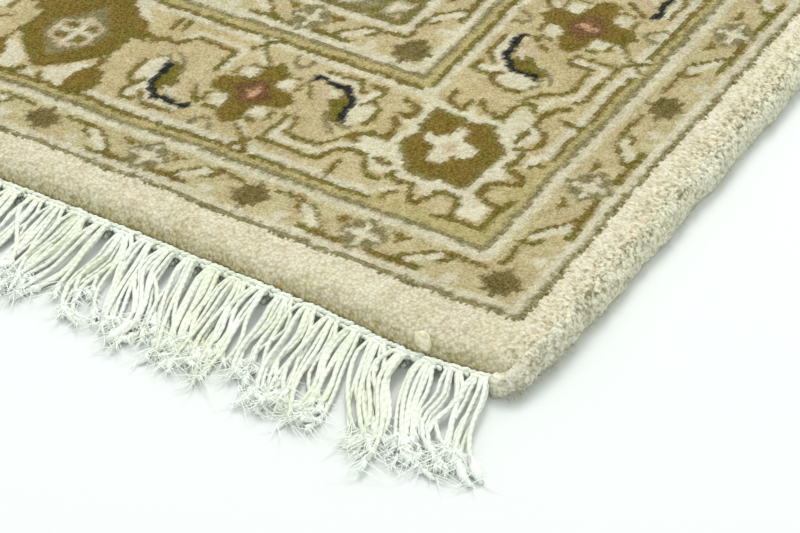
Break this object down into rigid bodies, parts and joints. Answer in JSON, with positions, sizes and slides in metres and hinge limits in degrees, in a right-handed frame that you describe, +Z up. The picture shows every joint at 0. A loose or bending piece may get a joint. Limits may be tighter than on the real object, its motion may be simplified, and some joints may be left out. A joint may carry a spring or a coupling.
{
  "type": "hand-knotted oriental rug",
  "caption": "Flat rectangular wool pile rug with overcast long sides and a knotted cotton fringe along both ends.",
  "frame": {"origin": "on the floor under the middle of the rug", "axes": "+Y along the rug's length, from the front fringe to the back one; +X across it; +Z up out of the pile"},
  "size_m": [1.0064, 1.6096, 0.012],
  "materials": {
    "pile_wool": "clipped wool pile, cream and tan with olive, grey and dark blue motifs",
    "selvedge_wool": "fuzzy overcast wool, cream",
    "cotton": "twisted unbleached cotton, white"
  },
  "bodies": {
    "root": {"rug_body": "pile_wool", "selvedge_right": "selvedge_wool", "selvedge_left": "selvedge_wool", "fringe_front": "cotton", "fringe_back": "cotton"}
  },
  "joints": []
}
